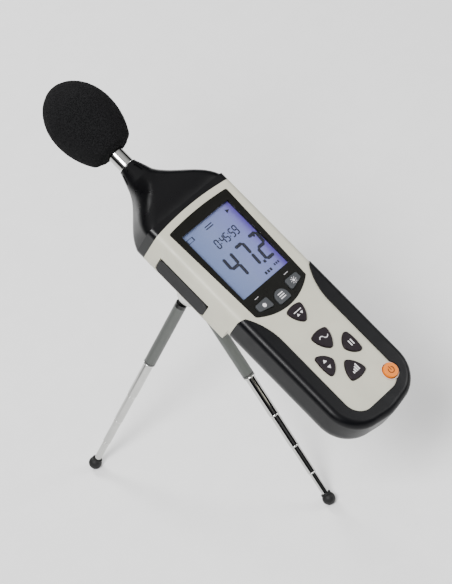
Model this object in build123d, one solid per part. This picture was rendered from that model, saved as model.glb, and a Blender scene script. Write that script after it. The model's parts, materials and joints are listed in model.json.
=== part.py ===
from build123d import *
import os
from math import atan2, cos, degrees, radians, sin

# Handheld data-logging sound level meter on a pocket tripod with a ball head.
# Millimetres and degrees.
#
# The meter is drawn in its own frame: x to the reader's right, y towards the
# microphone, z out of the display. The face is z = 0 and the bottom end is y = 0.
# The tripod is drawn in a level frame with its hub above the origin.

# ---- meter body
BODY_W = 76.0
UPPER_BACK = -36.0          # back of the thick upper half
GRIP_BACK = -31.0           # back of the grip
GRIP_END = 117.0            # where the rubber grip stops
SPLIT_Z = -13.0             # seam between front and rear shells
WALL = 2.6
RUBBER_T = 3.0
RUBBER_PROUD = 1.2          # rubber lip above the face
CORNER_R = 26.0
CROWN_R = 40.0
HOUSING_END = 200.0         # the housing is trimmed to the nose seam below this
OUTLINE_END = 230.0         # its plan runs on past the trim, so the trimmed edge stays sharp
SEAM_R = 259.0              # radius of the curved seam under the nose
SEAM_APEX = 196.4
SCREW_POSTS = [(-31, 126), (31, 126), (-31, 190), (31, 190)]

# ---- nose, neck and microphone, all on one axis
MIC_Z = -23.5
NECK_BASE = 235.4
NECK_TOP = 248.4
NECK_BASE_R = 11.4
NECK_TOP_R = 6.7
SLOT_COUNT = 8
SLOT_LENGTH = 7.6
SLOT_WIDTH = 2.0
SLOT_DEPTH = 0.8
TUBE_R = 6.0
CAPSULE_R = 6.35
TUBE_START = 226.0
TUBE_END = 268.0
MIC_TIP = 281.0
SCREEN_BOTTOM = 261.3
SCREEN_TOP = 324.3
SCREEN_MID = 292.0
SCREEN_R = 25.0
SCREEN_BASE_R = 15.0

# ---- display
WINDOW_HALF = 23.7
WINDOW_LOW = 123.1
WINDOW_HIGH = 182.4
BEZEL_TOP_HALF = 29.3
BEZEL_BOTTOM_HALF = 26.3
BEZEL_TOP = 189.3
BEZEL_BOTTOM = 108.8
BEZEL_TOP_APEX = 191.0
BEZEL_LOW_APEX = 100.4
BEZEL_DEPTH = 1.8

# ---- keys
KEY_TOP = 1.5
KEY_BOTTOM = -6.2
KEY_GAP = 0.35
KEY_EDGE = 0.5
FLANGE_TOP = -3.4
FLANGE_T = 1.0
FLANGE_EXTRA = 0.8
KEY_TRAVEL = 1.0
PICK_CORNER = 2.0
POWER_AT = (19.7, 22.1)
POWER_R = 5.4

# ---- electronics
BOARD_TOP = -8.6
BOARD_T = 1.6
MEMBRANE_TOP = -7.4

# ---- side ports
STRIP_LOW = 137.2
STRIP_HIGH = 183.0
STRIP_BACK = -29.0
STRIP_FRONT = -14.6
STRIP_T = 2.2
STRIP_PROUD = 0.6

# ---- battery
BATTERY = (26.5, 48.5, 17.5)
BATTERY_LOW = 38.0
COVER_HALF = 17.0
COVER_LOW = 34.0
COVER_HIGH = 92.0

# ---- tripod socket in the back, and ball head
THREAD_Y = 173.0
BOSS_R = 12.0
BOSS_END = -44.0
THREAD_R = 3.1
BALL_DROP = 66.0            # ball centre behind the face
BALL_R = 6.5
HUB_BELOW_BALL = 20.0
HUB_R = 11.1

# ---- tripod legs
METER_ELEVATION = 33.7
METER_ROLL = 8.1
LEG_AZIMUTHS = [144.0, -96.0, 24.0]
LEG_SPLAY = 35.96
PIVOT_R = 6.0
PIVOT_DROP = 3.5
LEG_LENGTH = 173.2          # pivot to the centre of the rubber foot
PIN_R = 1.0
FOOT_R = 4.85
FOOT_CENTRE_Z = 4.4
UPPER_R = 4.35
LAST_BORE_R = 1.9
TUBE_RADII = [3.65, 3.3, 2.95, 2.5]
SECTION_ENDS = [67.5, 100.5, 127.5, 151.0]
RUN_GAP = 0.05              # radial clearance of every sliding tube
TUBE_OVERLAP = [10.0, 8.0, 8.0, 8.0]
BRACKET_START = 6.0
UPPER_START = 9.0
PLUG_END = 17.0


# ------------------------------------------------------------------ helpers
def block(x0, x1, y0, y1, z0, z1):
    """Box between two corners."""
    size = (x1 - x0, y1 - y0, z1 - z0)
    centre = ((x0 + x1) / 2, (y0 + y1) / 2, (z0 + z1) / 2)
    return Pos(*centre) * Box(*size)


def rod_y(radius, y0, y1, x=0.0, z=MIC_Z):
    """Cylinder along y."""
    turned = Rot(-90, 0, 0) * Cylinder(radius, y1 - y0)
    return Pos(x, (y0 + y1) / 2, z) * turned


def rod_z(radius, z0, z1, x=0.0, y=0.0):
    """Cylinder along z."""
    return Pos(x, y, (z0 + z1) / 2) * Cylinder(radius, z1 - z0)


def prism(face, z0, z1):
    """Extrude a sketch drawn on z = 0 between two heights."""
    return Pos(0, 0, z0) * extrude(face, z1 - z0)


def housing_outline(inset=0.0):
    """Plan of the body: straight sides, rounded bottom corners, slightly crowned end."""
    half = BODY_W / 2 - inset
    with BuildSketch() as sketch:
        with BuildLine():
            Polyline(
                (-half, OUTLINE_END), (-half, 6 + inset), (0, inset),
                (half, 6 + inset), (half, OUTLINE_END), close=True,
            )
        make_face()
        low = sketch.vertices().sort_by(Axis.Y)[:3]
        fillet([v for v in low if abs(v.X) > 1], CORNER_R - inset)
        fillet([v for v in sketch.vertices() if abs(v.X) < 1], CROWN_R)
    return sketch.sketch


def rounded_body(outline, back, front, back_r, front_r):
    """Extruded plan with rolled front and back edges."""
    body = prism(outline, back, front)
    body = fillet(body.faces().sort_by(Axis.Z)[0].edges(), back_r)
    return fillet(body.faces().sort_by(Axis.Z)[-1].edges(), front_r)


def face_panel_outline(grow=0.0):
    """Off-white panel framed by the rubber, flaring to the full width at its top."""
    side = 24.6 + grow
    with BuildSketch() as sketch:
        with BuildLine():
            Line((-side, 84), (-side, 13 - grow))
            Line((-side, 13 - grow), (side, 13 - grow))
            Line((side, 13 - grow), (side, 84))
            ThreePointArc((side, 84), (27 + grow, 99.5), (33.6 + grow, 112.5))
            Line((33.6 + grow, 112.5), (44, GRIP_END))
            Line((44, GRIP_END), (44, GRIP_END + 8))
            Line((44, GRIP_END + 8), (-44, GRIP_END + 8))
            Line((-44, GRIP_END + 8), (-44, GRIP_END))
            Line((-44, GRIP_END), (-33.6 - grow, 112.5))
            ThreePointArc((-33.6 - grow, 112.5), (-27 - grow, 99.5), (-side, 84))
        make_face()
        fillet(sketch.vertices().sort_by(Axis.Y)[:2], 13)
        with Locations(POWER_AT):
            Circle(POWER_R + 1.4)
    return sketch.sketch


def bezel_outline(grow=0.0):
    """Display bezel: wide crowned top, tapering sides, deep curved bottom."""
    top = BEZEL_TOP_HALF + grow
    low = BEZEL_BOTTOM_HALF + grow
    with BuildSketch() as sketch:
        with BuildLine():
            ThreePointArc((-top, BEZEL_TOP + grow), (0, BEZEL_TOP_APEX + grow), (top, BEZEL_TOP + grow))
            Line((top, BEZEL_TOP + grow), (low, BEZEL_BOTTOM))
            ThreePointArc((low, BEZEL_BOTTOM), (0, BEZEL_LOW_APEX - grow), (-low, BEZEL_BOTTOM))
            Line((-low, BEZEL_BOTTOM), (-top, BEZEL_TOP + grow))
        make_face()
        fillet(sketch.vertices(), 1.6)
    return sketch.sketch


def nose_loft(inset=0.0):
    """Shoulder that narrows from the body section to the round neck."""
    rows = [
        (HOUSING_END, 76, 36, 8, -18),
        (210, 66, 36, 12, -18.3),
        (223, 41, 31, 13.4, -20.6),
        (NECK_BASE, 2 * NECK_BASE_R, 2 * NECK_BASE_R, NECK_BASE_R - 0.05, MIC_Z),
    ]
    sections = []
    for y, width, depth, radius, z in rows:
        plane = Plane(origin=(0, y, z), x_dir=(1, 0, 0), z_dir=(0, 1, 0))
        shape = RectangleRounded(width - 2 * inset, depth - 2 * inset, radius - inset)
        sections.append(plane * shape)
    return loft(sections)


def above_seam():
    """Everything on the microphone side of the curved nose seam."""
    disc = Pos(0, SEAM_APEX - SEAM_R, 0) * Circle(SEAM_R)
    return block(-60, 60, 150, 300, -80, 20) - prism(disc, -80, 20)


# ------------------------------------------------------------------ key outlines
def pick(width, length):
    """Guitar-pick outline, broad at +y and pointing to -y."""
    half = width / 2
    top = length * 0.32
    tip = -length * 0.58
    with BuildSketch() as sketch:
        with BuildLine():
            ThreePointArc((-half, top), (0, length * 0.42), (half, top))
            ThreePointArc((half, top), (width * 0.35, -length * 0.22), (0, tip))
            ThreePointArc((0, tip), (-width * 0.35, -length * 0.22), (-half, top))
        make_face()
        fillet(sketch.vertices(), PICK_CORNER)
    return sketch.sketch


def function_key(mirror_it=False):
    """Small key under the display: a trapezoid that follows the bezel's curve."""
    sign = -1 if mirror_it else 1
    with BuildSketch() as sketch:
        with BuildLine():
            Polyline(
                (-6 * sign, 3.4), (5.6 * sign, 3.7), (6 * sign, -4.8),
                (-6.2 * sign, -1.9), close=True,
            )
        make_face()
        fillet(sketch.vertices(), 1.5)
    return sketch.sketch


def arch_key():
    """Middle key under the display, with an arched top."""
    with BuildSketch() as sketch:
        with BuildLine():
            Line((-5.6, -4.2), (5.6, -4.2))
            Line((5.6, -4.2), (5.6, 0.5))
            ThreePointArc((5.6, 0.5), (0, 5.4), (-5.6, 0.5))
            Line((-5.6, 0.5), (-5.6, -4.2))
        make_face()
        fillet(sketch.vertices(), 1.3)
    return sketch.sketch


KEYS = {
    "key_record": Pos(-15.3, 111.4) * function_key(),
    "key_setup": Pos(0, 108.2) * arch_key(),
    "key_backlight": Pos(15.3, 111.4) * function_key(True),
    "key_fast_slow": Pos(0, 92.9) * pick(13.6, 14.0),
    "key_weighting": Pos(0, 68.6) * pick(14.6, 15.2),
    "key_hold": Pos(12.8, 53.9) * Rot(0, 0, -90) * pick(17.4, 11.0),
    "key_max_min": Pos(-12.8, 53.9) * Rot(0, 0, 90) * pick(17.4, 11.0),
    "key_level": Pos(0, 39.2) * Rot(0, 0, 180) * pick(14.6, 15.2),
    "key_power": Pos(*POWER_AT) * Circle(POWER_R),
}
UNDER_BEZEL = ("key_record", "key_setup", "key_backlight")


def make_key(name):
    """Moulded key: crowned cap through the face, and a flange that keeps it in."""
    outline = KEYS[name]
    top = KEY_TOP + (1.0 if name == "key_power" else 0.0)
    cap = prism(outline, KEY_BOTTOM, top)
    cap = fillet(cap.faces().sort_by(Axis.Z)[-1].edges(), KEY_EDGE)
    flange = prism(offset(outline, FLANGE_EXTRA), FLANGE_TOP - FLANGE_T, FLANGE_TOP)
    return cap + flange


# ------------------------------------------------------------------ housing
def back_ramp():
    """Wedge taken off the thick half where it steps down to the grip."""
    corners = [(GRIP_END - 1, GRIP_BACK), (GRIP_END, GRIP_BACK), (GRIP_END + 13, UPPER_BACK)]
    corners = corners + [(GRIP_END + 13, UPPER_BACK - 5), (GRIP_END - 1, UPPER_BACK - 5)]
    return extrude(Plane.YZ * Polygon(*corners, align=None), 60, both=True)


PANEL = face_panel_outline()
UPPER = rounded_body(housing_outline(), UPPER_BACK, 0, 8, 5) & block(-60, 60, GRIP_END, HOUSING_END, -80, 20)
UPPER = UPPER - back_ramp()
LOWER = rounded_body(housing_outline(), GRIP_BACK, 0, 14, 5) & block(-60, 60, -5, GRIP_END, -80, 20)
RUBBER_OUTER = rounded_body(housing_outline(), GRIP_BACK, RUBBER_PROUD, 14, 5)
RUBBER_OUTER = RUBBER_OUTER & block(-60, 60, -5, GRIP_END, -80, 20)
CORE = rounded_body(housing_outline(RUBBER_T), GRIP_BACK + RUBBER_T, -RUBBER_T, 11, 3)
CORE = CORE & block(-60, 60, -5, GRIP_END, -80, 20)
PANEL_PRISM = prism(PANEL, -60, 20)


def cavity():
    """Hollow inside the two shells."""
    upper = block(-35.4, 35.4, GRIP_END + 15, HOUSING_END, UPPER_BACK + WALL, -WALL)
    upper = fillet(upper.edges().filter_by(Axis.Y), 5)
    upper = upper + block(-32, 32, GRIP_END + 2.4, GRIP_END + 16, GRIP_BACK + WALL, -WALL)
    lower = rounded_body(housing_outline(RUBBER_T + 2.2), GRIP_BACK + 2.2, -5.2, 8, 1.5)
    lower = lower & block(-60, 60, 0, GRIP_END + 4, -80, 20)
    pocket = block(-22.5, 22.5, 20, GRIP_END + 4, -12, -WALL)
    power = rod_z(POWER_R + 1.6, -12, -WALL, *POWER_AT)
    return upper + lower + pocket + power


def shell_body():
    """Solid volume of both shells before they are hollowed and split."""
    body = UPPER + CORE + (LOWER & PANEL_PRISM)
    return body - above_seam()


def make_front_shell(body):
    half = body & block(-60, 60, -5, 220, SPLIT_Z, 20)
    half = half - cavity()
    for x, y in SCREW_POSTS:
        half = half + rod_z(3.2, SPLIT_Z, -WALL, x, y) - rod_z(1.35, SPLIT_Z, -5, x, y)
    half = half - prism(bezel_outline(0.05), -BEZEL_DEPTH, 5)
    half = half - block(-25.2, 25.2, 121.6, 184.0, -12, 5)
    for name, outline in KEYS.items():
        half = half - prism(offset(outline, KEY_GAP), -6, 5)
    return half


def make_rear_shell(body):
    half = body & block(-60, 60, -5, 220, -80, SPLIT_Z)
    half = half - cavity()
    for x, y in SCREW_POSTS:
        half = half + (rod_z(3.6, UPPER_BACK + 0.5, SPLIT_Z, x, y) & UPPER)
        half = half - rod_z(1.35, -60, 0, x, y) - rod_z(2.9, -60, UPPER_BACK + 4, x, y)
    half = half + rod_z(BOSS_R, BOSS_END, UPPER_BACK + WALL, 0, THREAD_Y)
    half = half + rod_z(7, UPPER_BACK, -31, 0, THREAD_Y)
    half = half - rod_z(4.5, BOSS_END - 1, -33.5, 0, THREAD_Y)
    half = half - block(-COVER_HALF - 0.3, COVER_HALF + 0.3, COVER_LOW - 0.3, COVER_HIGH + 0.3, -40, -28.9)
    # port pocket in the left wall
    x_in = -BODY_W / 2 + STRIP_T - STRIP_PROUD
    half = half - block(-45, x_in, STRIP_LOW - 0.3, STRIP_HIGH + 0.3, STRIP_BACK - 0.3, STRIP_FRONT + 0.3)
    half = half - block(-40, -30, STRIP_LOW + 3, STRIP_HIGH - 4, STRIP_BACK + 2, STRIP_FRONT - 2)
    return half


def make_grip():
    """Black rubber band round the sides, bottom and back of the handle."""
    return RUBBER_OUTER - PANEL_PRISM - CORE


def make_nose():
    outer = (UPPER + nose_loft()) & above_seam()
    inner = nose_loft(2.2) + block(-33.5, 33.5, 190, HOUSING_END + 0.5, -33.5, -2.6)
    inner = inner & block(-60, 60, 150, NECK_BASE - 3, -80, 20)
    bore = rod_y(TUBE_R, 225, 250)
    return outer - inner - bore


def make_neck():
    """Tapered collar with eight shallow slots for grip."""
    plane = Plane(origin=(0, NECK_BASE, MIC_Z), x_dir=(1, 0, 0), z_dir=(0, 1, 0))
    length = NECK_TOP - NECK_BASE
    drop = NECK_BASE_R - NECK_TOP_R
    cone = Location(plane) * Pos(0, 0, length / 2) * Cone(NECK_BASE_R, NECK_TOP_R, length)
    ring = rod_y(NECK_TOP_R + 0.25, NECK_TOP - 2.0, NECK_TOP)
    collar = cone + ring - rod_y(TUBE_R, NECK_BASE - 5, NECK_TOP + 5)
    slot = extrude(Rot(0, 0, 90) * SlotOverall(SLOT_LENGTH, SLOT_WIDTH), SLOT_DEPTH, both=True)
    lean = degrees(atan2(drop, length))
    laid = Pos(0, 0, NECK_TOP_R + drop / 2) * (Rot(-lean, 0, 0) * slot)
    for index in range(SLOT_COUNT):
        around = Rot(0, index * 360 / SLOT_COUNT, 0) * laid
        collar = collar - Pos(0, NECK_BASE + length / 2, MIC_Z) * around
    return collar


# ------------------------------------------------------------------ display and electronics
def make_bezel():
    bezel = prism(bezel_outline(), -BEZEL_DEPTH, 0.3)
    window = block(-WINDOW_HALF, WINDOW_HALF, WINDOW_LOW, WINDOW_HIGH, -5, 5)
    bezel = bezel - window
    for name in UNDER_BEZEL:
        bezel = bezel - prism(offset(KEYS[name], KEY_GAP), -6, 5)
    return bezel


def make_board():
    top = block(-25, 25, 119, 186, BOARD_TOP - BOARD_T, BOARD_TOP)
    tongue = block(-21, 21, 22, 119, BOARD_TOP - BOARD_T, BOARD_TOP)
    power = rod_z(POWER_R + 1.2, BOARD_TOP - BOARD_T, BOARD_TOP, *POWER_AT)
    chip = block(-9, 9, 140, 158, BOARD_TOP - BOARD_T - 2.4, BOARD_TOP - BOARD_T)
    return top + tongue + power + chip


def make_membrane():
    sheet = block(-21, 21, 22, 118, MEMBRANE_TOP - 1.1, MEMBRANE_TOP)
    power = rod_z(POWER_R + 1.2, MEMBRANE_TOP - 1.1, MEMBRANE_TOP, *POWER_AT)
    return sheet + power


def make_screws():
    screws = []
    for x, y in SCREW_POSTS:
        head = rod_z(2.7, UPPER_BACK + 1.6, UPPER_BACK + 4, x, y)
        shank = rod_z(1.35, UPPER_BACK + 4, -6, x, y)
        slot = block(x - 3, x + 3, y - 0.4, y + 0.4, UPPER_BACK + 1.5, UPPER_BACK + 2.4)
        screws.append(head + shank - slot)
    return screws


def make_port(y, half, kind):
    """Socket standing on the board behind the port opening."""
    z_mid = (STRIP_BACK + STRIP_FRONT) / 2
    body = block(-34.2, -24.5, y - half, y + half, z_mid - 3.6, BOARD_TOP - BOARD_T)
    if kind == "usb":
        mouth = block(-36, -27, y - 3.6, y + 3.6, z_mid - 2.4, z_mid + 1.4)
    else:
        mouth = Pos(-31, y, z_mid) * (Rot(0, 90, 0) * Cylinder(kind, 9))
    return body - mouth


def make_port_cover():
    """Rubber flap over the sockets, hinged at its upper end."""
    x0 = -BODY_W / 2 - STRIP_PROUD
    flap = block(x0, x0 + STRIP_T - 0.25, STRIP_LOW, STRIP_HIGH - 0.3, STRIP_BACK, STRIP_FRONT)
    flap = fillet(flap.edges().filter_by(Axis.X), 3.0)
    return fillet(flap.faces().sort_by(Axis.X)[0].edges(), 0.5)


def make_battery():
    width, length, depth = BATTERY
    z0 = -28.4
    cell = block(-width / 2, width / 2, BATTERY_LOW, BATTERY_LOW + length, z0, z0 + depth)
    return fillet(cell.edges().filter_by(Axis.Y), 2)


def make_battery_snap():
    y0 = BATTERY_LOW + BATTERY[1]
    strip = block(-13, 13, y0 + 2.6, y0 + 4.4, -26, -14)
    studs = rod_y(3.0, y0, y0 + 2.6, -6.4, -20) + rod_y(3.6, y0, y0 + 2.6, 6.4, -20)
    return strip + studs


def make_battery_cover():
    cover = block(-COVER_HALF, COVER_HALF, COVER_LOW, COVER_HIGH, GRIP_BACK, -29.1)
    cover = fillet(cover.edges().filter_by(Axis.Z), 1.5)
    for index in range(5):
        y = COVER_HIGH - 8 - 3 * index
        cover = cover - block(-8, 8, y, y + 1.2, GRIP_BACK - 1, GRIP_BACK + 0.6)
    return cover


# ------------------------------------------------------------------ microphone
def make_mic_tube():
    return rod_y(TUBE_R, TUBE_START, TUBE_END) - rod_y(TUBE_R - 1, TUBE_START - 1, TUBE_END + 1)


def make_capsule():
    body = rod_y(CAPSULE_R, TUBE_END, MIC_TIP)
    body = body - rod_y(CAPSULE_R - 0.9, MIC_TIP - 1.2, MIC_TIP + 1)
    groove = rod_y(CAPSULE_R + 1, TUBE_END + 2.0, TUBE_END + 2.8) - rod_y(CAPSULE_R - 0.4, TUBE_END, TUBE_END + 4)
    return body - groove


def make_windscreen():
    """Foam ball: a body of revolution with a flat base, bored to slip over the microphone."""
    height = SCREEN_TOP - SCREEN_MID
    turns = [radians(18 * step) for step in range(6)]
    dome = [(SCREEN_R * cos(turn), SCREEN_MID + height * sin(turn)) for turn in turns]
    with BuildSketch(Plane.XY) as sketch:
        with BuildLine():
            Line((0, SCREEN_BOTTOM), (SCREEN_BASE_R, SCREEN_BOTTOM))
            TangentArc((SCREEN_R, SCREEN_MID), (SCREEN_BASE_R, SCREEN_BOTTOM), tangent=(0, -1))
            Spline(*dome, tangents=[(0, 1), (-1, 0)])
            Line((0, SCREEN_TOP), (0, SCREEN_BOTTOM))
        make_face()
        fillet([v for v in sketch.vertices() if abs(v.X - SCREEN_BASE_R) < 0.1], 4)
    ball = Pos(0, 0, MIC_Z) * revolve(sketch.sketch, Axis.Y)
    return ball - rod_y(CAPSULE_R + 0.3, SCREEN_BOTTOM - 1, MIC_TIP + 1.5)


# ------------------------------------------------------------------ ball head, meter side
def make_insert():
    ring = rod_z(4.5, BOSS_END, -33.5, 0, THREAD_Y)
    return ring - rod_z(THREAD_R + RUN_GAP, BOSS_END - 1, -35, 0, THREAD_Y)


def make_stud():
    """Thread, platform, neck and ball in one turned piece."""
    thread = rod_z(THREAD_R, BOSS_END - 2, -36.5, 0, THREAD_Y)
    platform = rod_z(10.6, BOSS_END - 4.4, BOSS_END - 1.6, 0, THREAD_Y)
    neck = rod_z(3.0, -BALL_DROP, BOSS_END - 4, 0, THREAD_Y)
    ball = Pos(0, THREAD_Y, -BALL_DROP) * Sphere(BALL_R)
    return thread + platform + neck + ball


def make_pad():
    pad = rod_z(10.2, BOSS_END - 1.6, BOSS_END - 0.1, 0, THREAD_Y)
    return pad - rod_z(THREAD_R, BOSS_END - 3, BOSS_END + 1, 0, THREAD_Y)


# ------------------------------------------------------------------ tripod, level frame
PIVOT_Z = FOOT_CENTRE_Z + LEG_LENGTH * cos(radians(LEG_SPLAY))
HUB_Z = PIVOT_Z + PIVOT_DROP
BALL_Z = HUB_Z + HUB_BELOW_BALL
KNOB_AZIMUTH = 84.0


def make_socket():
    cup = rod_z(9.4, -9, 1.2) + rod_z(6, -12, -8) + rod_z(4, -16, -11)
    cup = cup - Sphere(BALL_R + RUN_GAP)
    bore = Rot(0, 0, KNOB_AZIMUTH) * (Pos(9, 0, -4) * (Rot(0, 90, 0) * Cylinder(2.05, 10)))
    return Pos(0, 0, BALL_Z) * (cup - bore)


def make_knob():
    """Thumbscrew that clamps the ball."""
    shank = Pos(9.9, 0, -4) * (Rot(0, 90, 0) * Cylinder(2.0, 6.8))
    grip = Pos(15.6, 0, -4) * (Rot(0, 90, 0) * Cylinder(4.4, 5.6))
    for index in range(10):
        flute = Pos(15.6, 0, 0) * (Rot(0, 90, 0) * Cylinder(0.8, 8))
        angle = radians(index * 36)
        grip = grip - Pos(0, 4.7 * sin(angle), -4 + 4.7 * cos(angle)) * flute
    return Pos(0, 0, BALL_Z) * (Rot(0, 0, KNOB_AZIMUTH) * (shank + grip))


def make_hub():
    """Round head of the tripod with three slots for the leg brackets."""
    hub = Sphere(HUB_R) & block(-20, 20, -20, 20, -7, 8)
    hub = hub - rod_z(4, 4, 12)
    for azimuth in LEG_AZIMUTHS:
        slot = block(2.9, 14, -2.1, 2.1, -9, -0.3)
        pin = Pos(PIVOT_R, 0, -PIVOT_DROP) * (Rot(90, 0, 0) * Cylinder(PIN_R, 12))
        hub = hub - Rot(0, 0, azimuth) * (slot + pin)
    return Pos(0, 0, HUB_Z) * hub


def make_pins():
    pins = []
    for azimuth in LEG_AZIMUTHS:
        pin = Pos(PIVOT_R, 0, -PIVOT_DROP) * (Rot(90, 0, 0) * Cylinder(PIN_R, 12))
        pins.append(Pos(0, 0, HUB_Z) * (Rot(0, 0, azimuth) * pin))
    return pins


def leg_location(azimuth):
    """Frame of one leg: origin on the pivot, -z down the leg."""
    at_hub = Location((0, 0, HUB_Z)) * Location((0, 0, 0), (0, 0, azimuth))
    return at_hub * Location((PIVOT_R, 0, -PIVOT_DROP), (0, -LEG_SPLAY, 0))


def make_bracket():
    eye = Rot(90, 0, 0) * Cylinder(2.7, 3.9)
    tongue = block(-2.7, 2.7, -1.95, 1.95, -BRACKET_START - 0.5, 0)
    collar = rod_z(UPPER_R, -UPPER_START, -BRACKET_START)
    plug = rod_z(3.7, -PLUG_END, -UPPER_START)
    hole = Rot(90, 0, 0) * Cylinder(PIN_R + RUN_GAP, 12)
    return eye + tongue + collar + plug - hole


def make_upper():
    end = SECTION_ENDS[0]
    tube = rod_z(UPPER_R, -end, -UPPER_START)
    tube = fillet(tube.faces().sort_by(Axis.Z)[0].edges(), 0.55)
    return tube - rod_z(TUBE_RADII[0] + RUN_GAP, -end - 1, 0)


def make_tube(index):
    """Telescopic section: index 0 is the largest chrome tube."""
    start = SECTION_ENDS[index] - TUBE_OVERLAP[index]
    last = index == len(TUBE_RADII) - 1
    end = LEG_LENGTH + 1.0 if last else SECTION_ENDS[index + 1]
    tube = rod_z(TUBE_RADII[index], -end, -start)
    if last:
        return tube - rod_z(LAST_BORE_R, -end - 1, -start + 1)
    tube = fillet(tube.faces().sort_by(Axis.Z)[0].edges(), 0.2)
    return tube - rod_z(TUBE_RADII[index + 1] + RUN_GAP, -end - 1, -start + 1)


def make_foot(location):
    """Rubber ball with a rolled rim, cut flat where it stands."""
    ball = Pos(0, 0, -LEG_LENGTH) * Sphere(FOOT_R)
    rim = Pos(0, 0, -LEG_LENGTH + FOOT_R - 0.7) * Torus(3.1, 0.75)
    foot = ball + rim - rod_z(TUBE_RADII[-1], -LEG_LENGTH - 1, -LEG_LENGTH + 20)
    return location * foot - block(-200, 200, -200, 200, -20, 0)


# ------------------------------------------------------------------ assembly
def meter_location():
    """Where the meter sits on the ball: leaning back, rolled a little to its right."""
    elevation = radians(METER_ELEVATION)
    roll = radians(METER_ROLL)
    level_w = Vector(0, -sin(elevation), cos(elevation))
    x_dir = Vector(1, 0, 0) * cos(roll) - level_w * sin(roll)
    z_dir = level_w * cos(roll) + Vector(1, 0, 0) * sin(roll)
    turned = Plane(origin=(0, 0, 0), x_dir=x_dir, z_dir=z_dir)
    ball = turned.from_local_coords(Vector(0, THREAD_Y, -BALL_DROP))
    return Plane(origin=Vector(0, 0, BALL_Z) - ball, x_dir=x_dir, z_dir=z_dir).location


def meter_parts():
    body = shell_body()
    parts = {
        "front_shell": make_front_shell(body),
        "rear_shell": make_rear_shell(body),
        "nose_cone": make_nose(),
        "neck_collar": make_neck(),
        "grip_overmould": make_grip(),
        "display_bezel": make_bezel(),
        "display_window": block(-25, 25, 121.8, 183.8, -2.9, -BEZEL_DEPTH - 0.05),
        "lcd_panel": block(-25, 25, 121.8, 183.8, -4.6, -3.1),
        "lcd_backlight": block(-25, 25, 121.8, 183.8, -8.0, -4.8),
        "main_board": make_board(),
        "keypad_membrane": make_membrane(),
        "preamp_board": block(-8, 8, 200, 224, MIC_Z - 0.8, MIC_Z + 0.8),
        "usb_port": make_port(146.5, 4.6, "usb"),
        "dc_jack": make_port(160.0, 4.6, 2.8),
        "signal_jack": make_port(172.5, 4.2, 1.9),
        "port_cover": make_port_cover(),
        "battery": make_battery(),
        "battery_snap": make_battery_snap(),
        "battery_cover": make_battery_cover(),
        "case_screws": make_screws(),
        "threaded_insert": make_insert(),
        "mic_tube": make_mic_tube(),
        "mic_capsule": make_capsule(),
        "windscreen": make_windscreen(),
        "ball_stud": make_stud(),
        "stud_pad": make_pad(),
    }
    for name in KEYS:
        parts[name] = make_key(name)
    return parts


def tripod_parts():
    parts = {
        "ball_socket": make_socket(),
        "lock_knob": make_knob(),
        "tripod_hub": make_hub(),
        "leg_pins": make_pins(),
    }
    for number, azimuth in enumerate(LEG_AZIMUTHS, start=1):
        place = leg_location(azimuth)
        parts[f"leg_{number}_bracket"] = place * make_bracket()
        parts[f"leg_{number}_upper"] = place * make_upper()
        for index in range(len(TUBE_RADII)):
            parts[f"leg_{number}_tube_{index + 2}"] = place * make_tube(index)
        parts[f"leg_{number}_foot"] = make_foot(place)
    return parts


def as_solids(shape):
    """Every solid of a part or of a list of parts."""
    items = shape if isinstance(shape, list) else [shape]
    return [solid for item in items for solid in item.solids()]


def build():
    """All nodes in the row frame: floor at z = 0, origin under the middle of the box."""
    place = meter_location()
    nodes = {name: [place * s for s in as_solids(part)] for name, part in meter_parts().items()}
    nodes.update({name: as_solids(part) for name, part in tripod_parts().items()})
    box = Compound([solid for solids in nodes.values() for solid in solids]).bounding_box()
    shift = Location((-(box.min.X + box.max.X) / 2, -(box.min.Y + box.max.Y) / 2, -box.min.Z))
    return {name: [shift * s for s in solids] for name, solids in nodes.items()}, shift


os.makedirs("parts", exist_ok=True)
NODES, SHIFT = build()
for node_name, node_solids in NODES.items():
    shape = node_solids[0] if len(node_solids) == 1 else Compound(node_solids)
    export_step(shape, f"parts/{node_name}.step")
print("nodes", len(NODES), "shift", SHIFT.position)
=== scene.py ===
import json
import math

import bmesh
import bpy
from mathutils import Matrix, Vector, noise

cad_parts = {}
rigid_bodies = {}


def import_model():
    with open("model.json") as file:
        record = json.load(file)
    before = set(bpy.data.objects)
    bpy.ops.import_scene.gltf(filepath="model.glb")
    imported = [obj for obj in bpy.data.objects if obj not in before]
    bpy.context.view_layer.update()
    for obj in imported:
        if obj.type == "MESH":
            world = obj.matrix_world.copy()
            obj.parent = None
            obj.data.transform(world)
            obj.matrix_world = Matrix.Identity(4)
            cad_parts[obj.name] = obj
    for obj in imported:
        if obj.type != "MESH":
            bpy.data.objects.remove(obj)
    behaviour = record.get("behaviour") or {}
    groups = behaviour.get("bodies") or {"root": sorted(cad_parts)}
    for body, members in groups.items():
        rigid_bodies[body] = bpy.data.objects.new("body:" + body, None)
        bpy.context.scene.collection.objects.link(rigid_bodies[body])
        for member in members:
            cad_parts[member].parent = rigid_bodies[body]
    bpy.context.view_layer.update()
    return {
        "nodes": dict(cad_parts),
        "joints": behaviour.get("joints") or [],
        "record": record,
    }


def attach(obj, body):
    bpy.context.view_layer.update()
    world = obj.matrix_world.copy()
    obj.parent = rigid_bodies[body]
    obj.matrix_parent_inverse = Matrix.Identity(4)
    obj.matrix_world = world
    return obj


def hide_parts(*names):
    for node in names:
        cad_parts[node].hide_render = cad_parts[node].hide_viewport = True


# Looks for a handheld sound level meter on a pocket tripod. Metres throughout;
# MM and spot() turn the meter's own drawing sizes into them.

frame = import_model()
NODES = frame["nodes"]
JOINTS = {joint["name"]: joint for joint in frame["joints"]}
MM = 0.001

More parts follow.
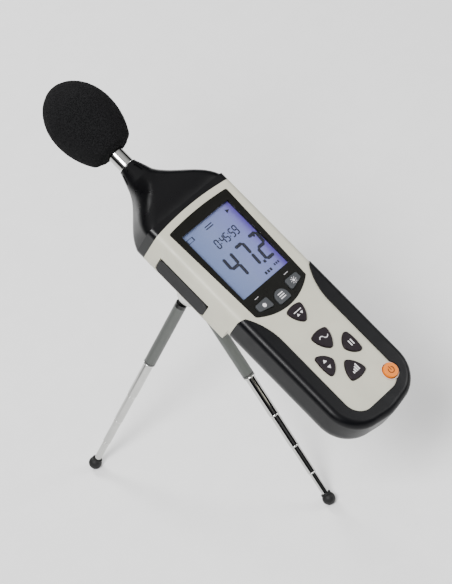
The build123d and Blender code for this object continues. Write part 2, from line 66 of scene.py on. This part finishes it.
# ------------------------------------------------------------------ meter frame, read from the joints
UP_METER = Vector(JOINTS["windscreen_pull"]["axis"])            # towards the microphone
OUT = -Vector(JOINTS["key_power_press"]["axis"])                # out of the face
RIGHT = UP_METER.cross(OUT)
MIC_Z = -23.5
SCREEN_MID = 292.0
ORIGIN = Vector(JOINTS["windscreen_pull"]["pos_m"]) - UP_METER * SCREEN_MID * MM - OUT * MIC_Z * MM
KEY_TOP = 1.5
POWER_TOP = 2.5
INK = 0.07                  # thickness of printed legends, in millimetres like the rest here
LCD_TOP = -3.1


def spot(x, y, z):
    """Point of the meter's own frame, in millimetres, as a place in the row frame."""
    return ORIGIN + (RIGHT * x + UP_METER * y + OUT * z) * MM


# ------------------------------------------------------------------ materials
def base_material(name, colour, roughness, metallic=0.0):
    """Material with a Principled shader and object coordinates."""
    mat = bpy.data.materials.new(name)
    mat.use_nodes = True
    nodes = mat.node_tree.nodes
    shader = nodes["Principled BSDF"]
    shader.inputs["Base Color"].default_value = (*colour, 1)
    shader.inputs["Roughness"].default_value = roughness
    shader.inputs["Metallic"].default_value = metallic
    coords = nodes.new("ShaderNodeTexCoord")
    return mat, shader, coords.outputs["Object"]


def add_noise(mat, coords, scale, detail):
    tree = mat.node_tree
    tex = tree.nodes.new("ShaderNodeTexNoise")
    tex.inputs["Scale"].default_value = scale
    tex.inputs["Detail"].default_value = detail
    tree.links.new(coords, tex.inputs["Vector"])
    return tex.outputs["Fac"]


def add_range(mat, value, low, high):
    tree = mat.node_tree
    span = tree.nodes.new("ShaderNodeMapRange")
    span.inputs["From Min"].default_value = 0.3
    span.inputs["From Max"].default_value = 0.7
    span.inputs["To Min"].default_value = low
    span.inputs["To Max"].default_value = high
    tree.links.new(value, span.inputs["Value"])
    return span.outputs["Result"]


def add_mix(mat, value, first, second):
    tree = mat.node_tree
    ramp = tree.nodes.new("ShaderNodeValToRGB")
    ramp.color_ramp.elements[0].position = 0.35
    ramp.color_ramp.elements[1].position = 0.65
    ramp.color_ramp.elements[0].color = (*first, 1)
    ramp.color_ramp.elements[1].color = (*second, 1)
    tree.links.new(value, ramp.inputs["Fac"])
    return ramp.outputs["Color"]


def add_bump(mat, shader, height, strength, distance):
    tree = mat.node_tree
    bump = tree.nodes.new("ShaderNodeBump")
    bump.inputs["Strength"].default_value = strength
    bump.inputs["Distance"].default_value = distance
    tree.links.new(height, bump.inputs["Height"])
    tree.links.new(bump.outputs["Normal"], shader.inputs["Normal"])


def scaled(colour, factor):
    return tuple(min(1.0, channel * factor) for channel in colour)


def moulded(name, colour, roughness, grain=2600.0, depth=0.00004, tone=0.06, coat=0.0, gloss=0.5):
    """Moulded plastic, rubber or paint: slow colour drift, fine texture, uneven gloss."""
    mat, shader, coords = base_material(name, colour, roughness)
    links = mat.node_tree.links
    slow = add_noise(mat, coords, 45.0, 4.0)
    drift = add_mix(mat, slow, scaled(colour, 1 - tone), scaled(colour, 1 + tone))
    links.new(drift, shader.inputs["Base Color"])
    patch = add_noise(mat, coords, 120.0, 5.0)
    links.new(add_range(mat, patch, roughness * 0.88, roughness * 1.12), shader.inputs["Roughness"])
    add_bump(mat, shader, add_noise(mat, coords, grain, 2.0), 0.35, depth)
    shader.inputs["Coat Weight"].default_value = coat
    shader.inputs["Specular IOR Level"].default_value = gloss
    return mat


def metal(name, colour, roughness):
    """Polished or satin metal with faint polishing marks."""
    mat, shader, coords = base_material(name, colour, roughness, 1.0)
    links = mat.node_tree.links
    marks = add_noise(mat, coords, 900.0, 4.0)
    links.new(add_range(mat, marks, roughness * 0.7, roughness * 1.5), shader.inputs["Roughness"])
    slow = add_noise(mat, coords, 70.0, 3.0)
    links.new(add_mix(mat, slow, scaled(colour, 0.93), scaled(colour, 1.04)), shader.inputs["Base Color"])
    add_bump(mat, shader, add_noise(mat, coords, 3200.0, 2.0), 0.12, 0.00002)
    return mat


def foam_material():
    """Black open-cell foam: the pits darkened with painted shade, between lighter strands."""
    mat, shader, coords = base_material("open_cell_foam", (0.005, 0.005, 0.005), 0.95)
    tree = mat.node_tree
    cells = tree.nodes.new("ShaderNodeTexVoronoi")
    cells.feature = "F1"
    cells.inputs["Scale"].default_value = 1150.0
    cells.inputs["Randomness"].default_value = 1.0
    tree.links.new(coords, cells.inputs["Vector"])
    # painted shade: the colour darkens towards each cell's centre, where the pits are
    ramp = tree.nodes.new("ShaderNodeValToRGB")
    ramp.color_ramp.elements[0].position = 0.12
    ramp.color_ramp.elements[0].color = (0.0008, 0.0008, 0.001, 1)
    ramp.color_ramp.elements[1].position = 0.62
    ramp.color_ramp.elements[1].color = (0.009, 0.009, 0.0095, 1)
    tree.links.new(cells.outputs["Distance"], ramp.inputs["Fac"])
    tree.links.new(ramp.outputs["Color"], shader.inputs["Base Color"])
    add_bump(mat, shader, cells.outputs["Distance"], 1.0, 0.0006)
    shader.inputs["Specular IOR Level"].default_value = 0.1
    return mat


def lcd_material():
    """Reflective blue display: lavender towards its right edge, with a faint dot matrix."""
    mat, shader, coords = base_material("lcd_glass", (0.28, 0.34, 0.55), 0.3)
    tree = mat.node_tree
    across = tree.nodes.new("ShaderNodeVectorMath")
    across.operation = "DOT_PRODUCT"
    across.inputs[1].default_value = RIGHT
    tree.links.new(coords, across.inputs[0])
    span = tree.nodes.new("ShaderNodeMapRange")
    middle = RIGHT.dot(ORIGIN)
    span.inputs["From Min"].default_value = middle - 24 * MM
    span.inputs["From Max"].default_value = middle + 24 * MM
    tree.links.new(across.outputs["Value"], span.inputs["Value"])
    ramp = tree.nodes.new("ShaderNodeValToRGB")
    ramp.color_ramp.elements[0].color = (0.085, 0.13, 0.28, 1)
    ramp.color_ramp.elements[1].color = (0.09, 0.055, 0.36, 1)
    ramp.color_ramp.elements.new(0.45).color = (0.125, 0.165, 0.33, 1)
    ramp.color_ramp.elements.new(0.84).color = (0.12, 0.14, 0.36, 1)
    tree.links.new(span.outputs["Result"], ramp.inputs["Fac"])
    tree.links.new(ramp.outputs["Color"], shader.inputs["Base Color"])
    add_bump(mat, shader, add_noise(mat, coords, 2400.0, 1.0), 0.05, 0.00002)
    return mat


def window_material():
    """Clear acrylic over the display, almost invisible but for its gloss."""
    mat, shader, coords = base_material("clear_window", (0.75, 0.8, 0.95), 0.06)
    shader.inputs["Alpha"].default_value = 0.02
    scuffs = add_noise(mat, coords, 500.0, 5.0)
    mat.node_tree.links.new(add_range(mat, scuffs, 0.04, 0.1), shader.inputs["Roughness"])
    return mat


PAINT = {
    "housing": moulded("housing_off_white", (0.52, 0.505, 0.41), 0.45, tone=0.04),
    "black_plastic": moulded("black_plastic", (0.0025, 0.0025, 0.003), 0.3, gloss=0.2),
    "grip_rubber": moulded("grip_rubber", (0.0015, 0.0016, 0.0024), 0.36, grain=1900.0, gloss=0.16),
    "foam": foam_material(),
    "clear_window": window_material(),
    "lcd": lcd_material(),
    "backlight": moulded("backlight_diffuser", (0.75, 0.78, 0.82), 0.6),
    "circuit_board": moulded("circuit_board", (0.02, 0.13, 0.05), 0.4),
    "membrane": moulded("keypad_silicone", (0.22, 0.23, 0.23), 0.6),
    "dark_keys": moulded("dark_key_rubber", (0.009, 0.005, 0.008), 0.5, grain=1500.0, gloss=0.2),
    "grey_keys": moulded("grey_key_rubber", (0.045, 0.048, 0.052), 0.5, grain=1500.0, gloss=0.25),
    "orange_key": moulded("orange_key_rubber", (0.78, 0.19, 0.002), 0.4, gloss=0.3),
    "connector": moulded("connector_black", (0.01, 0.01, 0.01), 0.4),
    "battery_can": metal("battery_can", (0.45, 0.46, 0.48), 0.35),
    "steel": metal("plated_steel", (0.5, 0.5, 0.5), 0.3),
    "brass_insert": metal("brass", (0.72, 0.5, 0.22), 0.35),
    "chrome_tube": metal("chrome", (0.5, 0.5, 0.485), 0.07),
    "capsule_metal": metal("capsule_metal", (0.5, 0.5, 0.52), 0.3),
    "leg_coat": moulded("grey_leg_enamel", (0.075, 0.08, 0.075), 0.34, gloss=0.4),
    "bracket_black": moulded("black_enamel", (0.006, 0.006, 0.006), 0.28, coat=0.2, gloss=0.35),
    "hub_silver": moulded("silver_hub", (0.62, 0.62, 0.6), 0.33, coat=0.3),
    "head_black": moulded("black_head", (0.006, 0.006, 0.0065), 0.35, gloss=0.35),
    "stud_metal": metal("stud_metal", (0.5, 0.5, 0.52), 0.3),
    "pad_rubber": moulded("pad_rubber", (0.008, 0.008, 0.008), 0.7, gloss=0.3),
    "foot_rubber": moulded("foot_rubber", (0.006, 0.006, 0.006), 0.55, gloss=0.3),
}
NAVY = moulded("lcd_ink", (0.0005, 0.0008, 0.007), 0.5, gloss=0.0)
WHITE_INK = moulded("white_legend", (0.72, 0.70, 0.72), 0.5)
BROWN_INK = moulded("brown_legend", (0.05, 0.008, 0.001), 0.5, gloss=0.2)
BEIGE_RING = moulded("beige_ring", (0.66, 0.52, 0.46), 0.45)
BEZEL = moulded("bezel_gloss", (0.004, 0.004, 0.003), 0.3, gloss=0.15)
BRIGHT_RIM = metal("rolled_rim", (0.8, 0.8, 0.78), 0.14)
DARK_RIM = moulded("dark_rim", (0.01, 0.01, 0.01), 0.35)


def paint_nodes():
    """Each CAD node gets the finished material of its slot."""
    for part in frame["record"]["subparts"]:
        thing = NODES[part["node"]]
        thing.data.materials.clear()
        thing.data.materials.append(PAINT[part["material_slot"]])
    NODES["display_bezel"].data.materials[0] = BEZEL


# ------------------------------------------------------------------ mesh helpers
def new_piece(name, mesh, body, material, smooth=False):
    thing = bpy.data.objects.new(name, mesh)
    bpy.context.scene.collection.objects.link(thing)
    mesh.materials.append(material)
    mesh.polygons.foreach_set("use_smooth", [smooth] * len(mesh.polygons))
    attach(thing, body)
    return thing


def plates(name, outlines, z, body, material, thickness=INK):
    """Thin raised marks: each outline is a list of (x, y) in the meter's frame."""
    work = bmesh.new()
    for outline in outlines:
        top = [work.verts.new(spot(x, y, z + thickness)) for x, y in outline]
        low = [work.verts.new(spot(x, y, z)) for x, y in outline]
        work.faces.new(top)
        work.faces.new(list(reversed(low)))
        for here in range(len(outline)):
            there = (here + 1) % len(outline)
            work.faces.new([top[here], low[here], low[there], top[there]])
    bmesh.ops.recalc_face_normals(work, faces=work.faces)
    mesh = bpy.data.meshes.new(name)
    work.to_mesh(mesh)
    work.free()
    new_piece(name, mesh, body, material)


def swept(name, centre, axis, profile, body, material, turns=64):
    """Surface of revolution of a closed profile of (radius, height) in metres."""
    axis = Vector(axis).normalized()
    side = axis.orthogonal().normalized()
    other = axis.cross(side)
    work = bmesh.new()
    rings = []
    for step in range(turns):
        angle = 2 * math.pi * step / turns
        out = side * math.cos(angle) + other * math.sin(angle)
        rings.append([work.verts.new(centre + out * r + axis * h) for r, h in profile])
    count = len(profile)
    for step in range(turns):
        a, b = rings[step], rings[(step + 1) % turns]
        for k in range(count):
            n = (k + 1) % count
            work.faces.new([a[k], a[n], b[n], b[k]])
    bmesh.ops.recalc_face_normals(work, faces=work.faces)
    mesh = bpy.data.meshes.new(name)
    work.to_mesh(mesh)
    work.free()
    new_piece(name, mesh, body, material, smooth=True)


def rim_profile(radius, thick, wide, steps=10):
    """Rounded bead round a tube."""
    angles = [2 * math.pi * k / steps for k in range(steps)]
    return [(radius + thick * math.cos(a), wide * math.sin(a)) for a in angles]


# ------------------------------------------------------------------ foam windscreen
SCREEN_LOW = 261.3
SCREEN_HIGH = 324.3
SCREEN_R = 25.0
SCREEN_BASE_R = 15.0
BORE_R = 6.65
BORE_END = 282.5
BASE_ROUND = 1.5            # how far the corner of the base is moved
BASE_ROUND_REACH = 4.5      # and how far from the corner that fades out
PIT_SCALES = (0.85, 1.9)    # coarse and fine pits, in waves per millimetre
PIT_FLOOR = 0.1
PIT_DEPTH = 0.45
PIT_LEVEL = 0.25
TIP_INSET = 0.3
FOAM_TURNS = 300


def screen_profile():
    """(radius, y) from the bore's mouth, over the base's rounded edge, to the top."""
    rise = SCREEN_MID - SCREEN_LOW
    flare = SCREEN_R - SCREEN_BASE_R
    arc_r = (flare * flare + rise * rise) / (2 * flare)
    points = [(BORE_R + step * 0.6, SCREEN_LOW) for step in range(11)]
    sweep = math.asin(rise / arc_r)
    for step in range(46):
        angle = sweep * (1 - step / 45)
        radius = SCREEN_R - arc_r * (1 - math.cos(angle))
        points.append((radius, SCREEN_MID - arc_r * math.sin(angle)))
    for step in range(1, 60):
        angle = math.pi / 2 * step / 60
        points.append((SCREEN_R * math.cos(angle), SCREEN_MID + (SCREEN_HIGH - SCREEN_MID) * math.sin(angle)))
    # round the corner of the base by moving its points inwards and up
    soft = []
    for radius, y in points:
        near = max(0.0, 1 - math.hypot(radius - SCREEN_BASE_R, y - SCREEN_LOW) / BASE_ROUND_REACH)
        soft.append((radius - BASE_ROUND * near * near, y + BASE_ROUND * near * near))
    return soft


def make_windscreen():
    """Foam ball with real pits in its surface, cut in from the CAD solid's skin."""
    work = bmesh.new()
    rings = []
    profile = screen_profile()
    bore = [(BORE_R, BORE_END)] + [(BORE_R, y) for y in (277.0, 272.0, 267.0, 263.0)]
    for radius, y in bore + profile:
        ring = []
        for step in range(FOAM_TURNS):
            angle = 2 * math.pi * step / FOAM_TURNS
            x, z = radius * math.cos(angle), radius * math.sin(angle)
            coarse, fine = (noise.noise(Vector((x, y, z)) * scale) for scale in PIT_SCALES)
            pit = coarse * 0.5 + fine * 0.5
            in_skin = radius > BORE_R + 0.1
            depth = PIT_FLOOR + PIT_DEPTH * max(0.0, pit + PIT_LEVEL) if in_skin else 0.0
            shrink = 1 - depth / max(radius, 3.0)
            lift = depth * (SCREEN_MID - y) / 34.0
            ring.append(work.verts.new(spot(x * shrink, y + lift, MIC_Z + z * shrink)))
        rings.append(ring)
    for a, b in zip(rings, rings[1:]):
        for step in range(FOAM_TURNS):
            after = (step + 1) % FOAM_TURNS
            work.faces.new([a[step], a[after], b[after], b[step]])
    tip = work.verts.new(spot(0, SCREEN_HIGH - TIP_INSET, MIC_Z))
    well = work.verts.new(spot(0, BORE_END, MIC_Z))
    for step in range(FOAM_TURNS):
        after = (step + 1) % FOAM_TURNS
        work.faces.new([rings[-1][step], rings[-1][after], tip])
        work.faces.new([rings[0][after], rings[0][step], well])
    bmesh.ops.recalc_face_normals(work, faces=work.faces)
    mesh = bpy.data.meshes.new("foam_windscreen")
    work.to_mesh(mesh)
    work.free()
    foam = new_piece("foam_windscreen", mesh, "windscreen", PAINT["foam"], smooth=True)
    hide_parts("windscreen")


# ------------------------------------------------------------------ display contents
SEGMENTS = {
    "0": "abcdef", "2": "abged", "4": "fgbc", "5": "afgcd", "7": "abc", "9": "abcdfg",
}


def bar(x0, y0, x1, y1, half):
    """One pointed segment between two corners of a digit."""
    along = Vector((x1 - x0, y1 - y0)).normalized()
    across = Vector((-along.y, along.x)) * half
    start = Vector((x0, y0)) + along * half * 0.1
    end = Vector((x1, y1)) - along * half * 0.1
    inner_start = start + along * half * 0.8
    inner_end = end - along * half * 0.8
    points = [start, inner_start - across, inner_end - across, end, inner_end + across, inner_start + across]
    return [tuple(point) for point in points]


def digit(character, x, y, width, height, half):
    """Outlines of a seven-segment digit whose lower left corner is (x, y)."""
    lean = 0.06 * height
    low = (x, y)
    mid = (x + lean / 2, y + height / 2)
    top = (x + lean, y + height)
    ends = {
        "a": (top[0], top[1], top[0] + width, top[1]),
        "b": (mid[0] + width, mid[1], top[0] + width, top[1]),
        "c": (low[0] + width, low[1], mid[0] + width, mid[1]),
        "d": (low[0], low[1], low[0] + width, low[1]),
        "e": (low[0], low[1], mid[0], mid[1]),
        "f": (mid[0], mid[1], top[0], top[1]),
        "g": (mid[0], mid[1], mid[0] + width, mid[1]),
    }
    return [bar(*ends[name], half) for name in SEGMENTS[character]]


def box_outline(x0, y0, x1, y1):
    return [(x0, y0), (x1, y0), (x1, y1), (x0, y1)]


def round_outline(x, y, radius, steps=20):
    return [(x + radius * math.cos(2 * math.pi * k / steps), y + radius * math.sin(2 * math.pi * k / steps))
            for k in range(steps)]


def make_display():
    """Reading, clock row and small generic marks, just above the LCD panel."""
    shapes = []
    for character, x in zip("472", (-11.8, 1.0, 14.8)):
        shapes += digit(character, x, 134.4, 7.4, 19.6, 1.25)
    shapes.append(box_outline(11.2, 133.2, 13.4, 135.4))
    for character, x in zip("04559", (-6.6, -1.2, 2.6, 8.0, 11.8)):
        shapes += digit(character, x, 160.4, 2.6, 6.6, 0.48)
    for x in (-2.4, 6.8):
        shapes += [box_outline(x - 0.4, 162.0, x + 0.4, 162.8), box_outline(x - 0.4, 164.8, x + 0.4, 165.6)]
    # unit and mode marks: plain bars and dots
    for x in (5.5, 8.0, 10.5):
        shapes.append(box_outline(x, 126.4, x + 1.7, 128.6))
    for x in (15.5, 17.4, 19.3):
        shapes.append(box_outline(x, 127.4, x + 1.2, 129.2))
    shapes += [box_outline(-3.5, 175.9, 3.5, 176.7), box_outline(-3.5, 177.7, 3.5, 178.5)]
    # corner marks: battery outline, dot and arrow
    shapes += [box_outline(-21.5, 175.8, -16.0, 176.2), box_outline(-21.5, 178.6, -16.0, 179.0)]
    shapes += [box_outline(-21.5, 175.8, -21.1, 179.0), box_outline(-16.4, 175.8, -15.4, 179.0)]
    shapes.append([(18.0, 175.8), (21.2, 177.4), (18.0, 179.0)])
    shapes.append(round_outline(20.4, 152.5, 1.0))
    plates("lcd_figures", shapes, LCD_TOP + 0.03, "meter", NAVY, 0.05)


# ------------------------------------------------------------------ key legends
RECORD_KEY = (-15.3, 111.2)
BACKLIGHT_KEY = (15.3, 111.2)
POWER_KEY = (19.7, 22.1)


def arc_band(x, y, radius, half, start, end, steps=18):
    """Part of a ring as one outline; angles in degrees."""
    angles = [math.radians(start + (end - start) * k / steps) for k in range(steps + 1)]
    outer = [(x + (radius + half) * math.cos(a), y + (radius + half) * math.sin(a)) for a in angles]
    inner = [(x + (radius - half) * math.cos(a), y + (radius - half) * math.sin(a)) for a in reversed(angles)]
    return outer + inner


def around(centre, radius, angle):
    """Point at a radius and angle from a centre."""
    return centre[0] + radius * math.cos(angle), centre[1] + radius * math.sin(angle)


def triangle(x, y, size, up=1):
    return [(x - size, y - size * 0.6 * up), (x + size, y - size * 0.6 * up), (x, y + size * 0.8 * up)]


def make_legends():
    """Generic marks on the keys, each riding on its own key, and two on the bezel."""
    legends = {
        "key_record": [round_outline(*RECORD_KEY, 1.5)],
        "key_setup": [box_outline(-2.4, 106.6 + 1.7 * row, 2.4, 107.3 + 1.7 * row) for row in range(3)],
        "key_backlight": [round_outline(*BACKLIGHT_KEY, 0.95)]
        + [bar(*around(BACKLIGHT_KEY, 1.5, angle), *around(BACKLIGHT_KEY, 2.6, angle), 0.2)
           for angle in [k * math.pi / 4 for k in range(8)]],
        "key_fast_slow": [box_outline(-3.6, 93.5, 3.6, 94.1),
                          triangle(-1.8, 91.3, 1.3), triangle(1.8, 91.3, 1.3, -1)],
        "key_weighting": [arc_band(-1.6, 68.4, 1.9, 0.3, 20, 160), arc_band(2.2, 69.4, 1.9, 0.3, 200, 340)],
        "key_hold": [box_outline(11.4, 51.8, 12.3, 56.0), box_outline(13.5, 51.8, 14.4, 56.0)],
        "key_max_min": [triangle(-12.9, 56.4, 1.6), triangle(-12.9, 51.4, 1.6, -1)],
        "key_level": [box_outline(-2.8 + 1.7 * k, 36.8, -1.7 + 1.7 * k, 38.4 + 1.1 * k) for k in range(4)],
        "key_power": [arc_band(*POWER_KEY, 2.2, 0.32, -235, 55), box_outline(19.4, 22.0, 20.0, 25.1)],
    }
    for key, shapes in legends.items():
        power = key == "key_power"
        ink = BROWN_INK if power else WHITE_INK
        plates(f"legend_{key}", shapes, POWER_TOP if power else KEY_TOP, key, ink)
    labels = [box_outline(-17.2, 118.2, -13.4, 118.5), box_outline(13.4, 118.2, 17.2, 118.5)]
    plates("bezel_marks", labels, 0.3, "meter", WHITE_INK)


def make_power_ring():
    """Pale raised rim round the power key."""
    profile = [(5.95, 0.0), (5.95, 0.45), (6.15, 0.65), (6.45, 0.65), (6.7, 0.4), (6.7, 0.0)]
    scaled_profile = [(r * MM, h * MM) for r, h in profile]
    swept("power_key_rim", spot(*POWER_KEY, 0), OUT, scaled_profile, "meter", BEIGE_RING)


# ------------------------------------------------------------------ tripod trim
SECTION_RADII = (4.35, 3.65, 3.3, 2.95)
RIM_UP = 0.8                # above the end of the tube
COLLAR_UP = 2.6
LEG_TURNS = 40
MIC_BAND_Y = 249.0
MIC_BAND_R = 6.0


def make_leg_rims():
    """Rolled rim at the end of each leg tube, and a dark collar line above it."""
    for leg in (1, 2, 3):
        for index, radius in enumerate(SECTION_RADII):
            joint = JOINTS[f"leg_{leg}_section_{index + 2}_slide"]
            up = Vector(joint["axis"])
            body = joint["parent"]
            end = Vector(joint["pos_m"])
            bright = rim_profile((radius - 0.12) * MM, 0.26 * MM, 0.5 * MM)
            swept(f"leg_{leg}_rim_{index + 1}", end + up * RIM_UP * MM, up, bright,
                  body, BRIGHT_RIM, LEG_TURNS)
            if index == 0:
                dark = rim_profile((radius - 0.1) * MM, 0.2 * MM, 0.45 * MM)
                swept(f"leg_{leg}_collar_line", end + up * COLLAR_UP * MM, up, dark,
                      body, DARK_RIM, LEG_TURNS)


def make_mic_bands():
    """Fine bright band where the collar meets the microphone tube."""
    band = rim_profile(MIC_BAND_R * MM, 0.35 * MM, 0.5 * MM)
    swept("mic_tube_band", spot(0, MIC_BAND_Y, MIC_Z), UP_METER, band, "meter", BRIGHT_RIM)


# ------------------------------------------------------------------ stage
EYE = Vector((-0.6856, -1.0348, 1.3635))
LOOK = Vector((0.3963, 0.6005, -0.695)).normalized()
ROLL = math.radians(17.05)
LENS = 154.1


def make_camera():
    level = LOOK.cross(Vector((0, 0, 1))).normalized()
    up = level.cross(LOOK)
    right = level * math.cos(ROLL) - up * math.sin(ROLL)
    top = right.cross(LOOK)
    data = bpy.data.cameras.new("camera")
    data.lens = LENS
    data.sensor_width = 36
    data.clip_end = 20
    camera = bpy.data.objects.new("camera", data)
    bpy.context.scene.collection.objects.link(camera)
    turn = Matrix((right, top, -LOOK)).transposed()
    camera.matrix_world = Matrix.Translation(EYE) @ turn.to_4x4()
    bpy.context.scene.camera = camera


def make_light(name, place, target, size, power):
    data = bpy.data.lights.new(name, "AREA")
    data.energy = power
    data.size = size
    lamp = bpy.data.objects.new(name, data)
    bpy.context.scene.collection.objects.link(lamp)
    lamp.location = place
    lamp.rotation_mode = "QUATERNION"
    lamp.rotation_quaternion = (Vector(target) - Vector(place)).to_track_quat("-Z", "Y")


def make_stage():
    """Pale floor and soft studio light."""
    mesh = bpy.data.meshes.new("floor")
    reach = 6.0
    corners = [(-reach, -reach, 0), (reach, -reach, 0), (reach, reach, 0), (-reach, reach, 0)]
    mesh.from_pydata(corners, [], [(0, 1, 2, 3)])
    floor = bpy.data.objects.new("floor", mesh)
    bpy.context.scene.collection.objects.link(floor)
    pale = moulded("pale_floor", (0.86, 0.86, 0.86), 0.7, grain=300.0, depth=0.00001, tone=0.01)
    mesh.materials.append(pale)
    middle = (0, 0, 0.15)
    make_light("key_softbox", (-0.9, -0.5, 1.5), middle, 0.6, 44)
    make_light("fill_softbox", (1.3, -0.9, 0.9), middle, 0.6, 12)
    make_light("rim_softbox", (0.3, 1.4, 1.0), middle, 0.5, 20)
    make_world()


def make_world():
    """Bright ceiling and a dark horizon, which gives the chrome its black stripes."""
    world = bpy.data.worlds.new("studio")
    bpy.context.scene.world = world
    world.use_nodes = True
    tree = world.node_tree
    coords = tree.nodes.new("ShaderNodeTexCoord")
    split = tree.nodes.new("ShaderNodeSeparateXYZ")
    ramp = tree.nodes.new("ShaderNodeValToRGB")
    ramp.color_ramp.elements[0].position = 0.3
    ramp.color_ramp.elements[0].color = (0.012, 0.012, 0.014, 1)
    ramp.color_ramp.elements[1].position = 0.9
    ramp.color_ramp.elements[1].color = (1.0, 1.0, 1.0, 1)
    tree.links.new(coords.outputs["Generated"], split.inputs["Vector"])
    tree.links.new(split.outputs["Z"], ramp.inputs["Fac"])
    tree.links.new(ramp.outputs["Color"], tree.nodes["Background"].inputs["Color"])
    tree.nodes["Background"].inputs["Strength"].default_value = 0.9


paint_nodes()
make_windscreen()
make_display()
make_legends()
make_power_ring()
make_leg_rims()
make_mic_bands()
make_camera()
make_stage()

bpy.context.view_layer.update()
